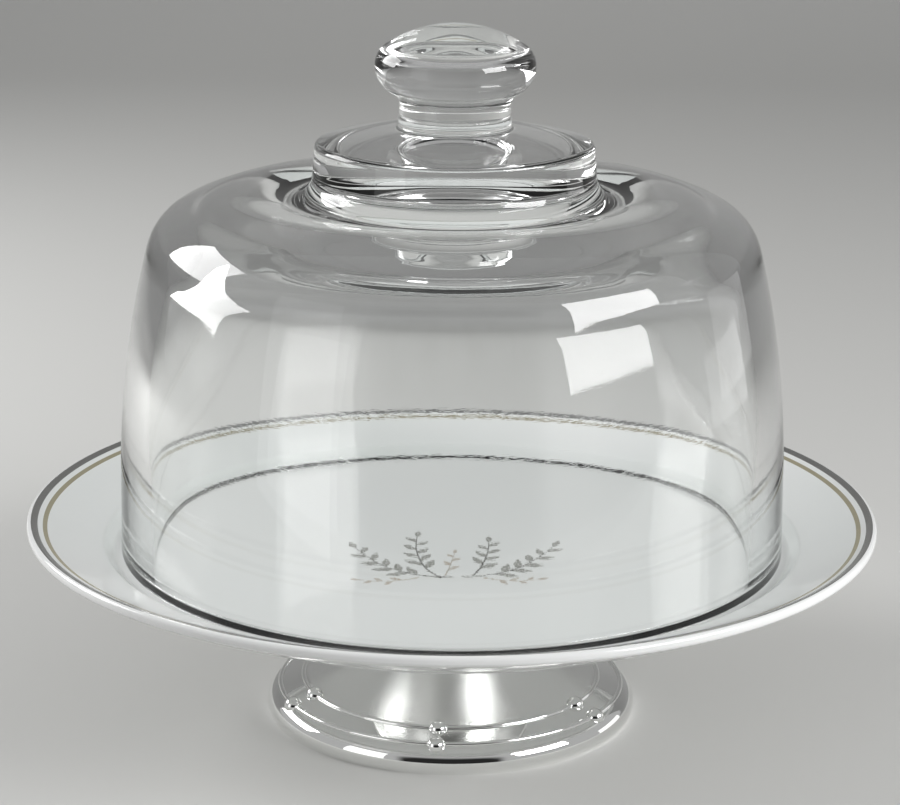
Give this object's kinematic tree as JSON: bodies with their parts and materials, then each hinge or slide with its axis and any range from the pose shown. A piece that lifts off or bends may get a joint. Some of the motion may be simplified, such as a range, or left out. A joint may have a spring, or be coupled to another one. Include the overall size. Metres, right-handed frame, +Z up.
{
  "type": "cheese plate with glass dome",
  "caption": "Round porcelain plate with a sloping rim on a flared metal foot, covered by a loose clear glass dome with a stepped boss and a round knob.",
  "frame": {"origin": "centre of the ring that the foot stands on, on the table", "axes": "+Z up through the knob, -Y towards the side the picture shows, +X to its right"},
  "size_m": [0.2692, 0.2692, 0.2218],
  "materials": {
    "clear_glass": "clear, thick, fire-polished glass with a faint ripple in the wall",
    "porcelain": "glossy white glaze",
    "silver_plate": "polished silver plate"
  },
  "bodies": {
    "root": {"glass_dome": "clear_glass", "plate": "porcelain", "pedestal": "silver_plate"}
  },
  "joints": []
}
